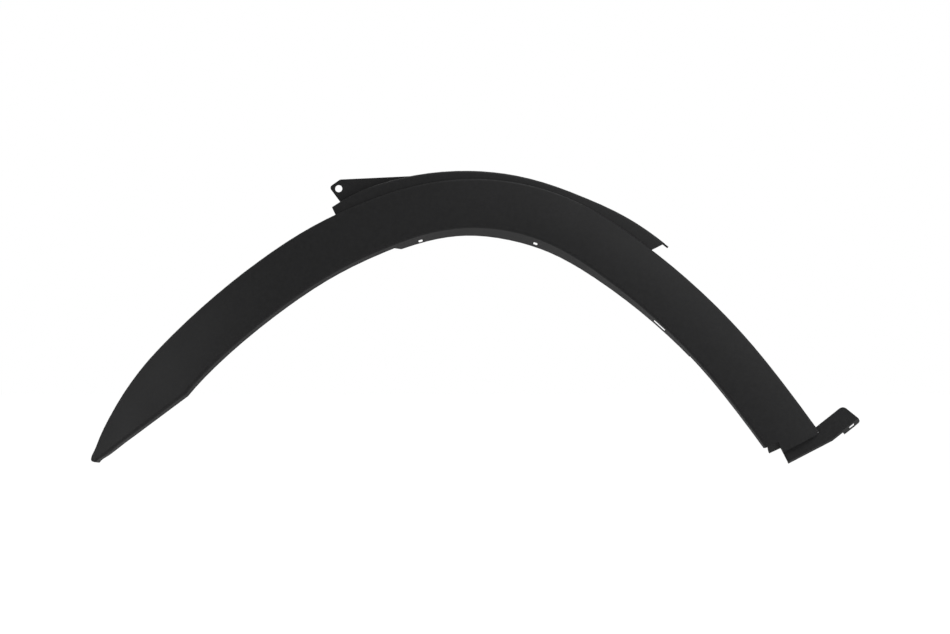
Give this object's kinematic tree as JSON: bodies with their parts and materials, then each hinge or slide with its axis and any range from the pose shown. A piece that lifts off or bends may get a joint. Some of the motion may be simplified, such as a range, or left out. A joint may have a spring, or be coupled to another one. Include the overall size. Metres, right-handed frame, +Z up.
{
  "type": "wheel arch moulding",
  "caption": "Black moulded trim for a car's front wheel arch: a crowned band with rolled lips, a pointed front end, a fixing ear and a joggled rear tab.",
  "frame": {"origin": "centre of the ear's hole, on the ear's front face", "axes": "+X to the car's rear along the moulding, +Y into the car body, +Z up; as fitted on the left front wheel arch"},
  "size_m": [0.9741, 0.0791, 0.3703],
  "materials": {
    "black_plastic": "fine grained matte black, moulded in colour"
  },
  "bodies": {
    "root": {"arch_moulding": "black_plastic"}
  },
  "joints": []
}
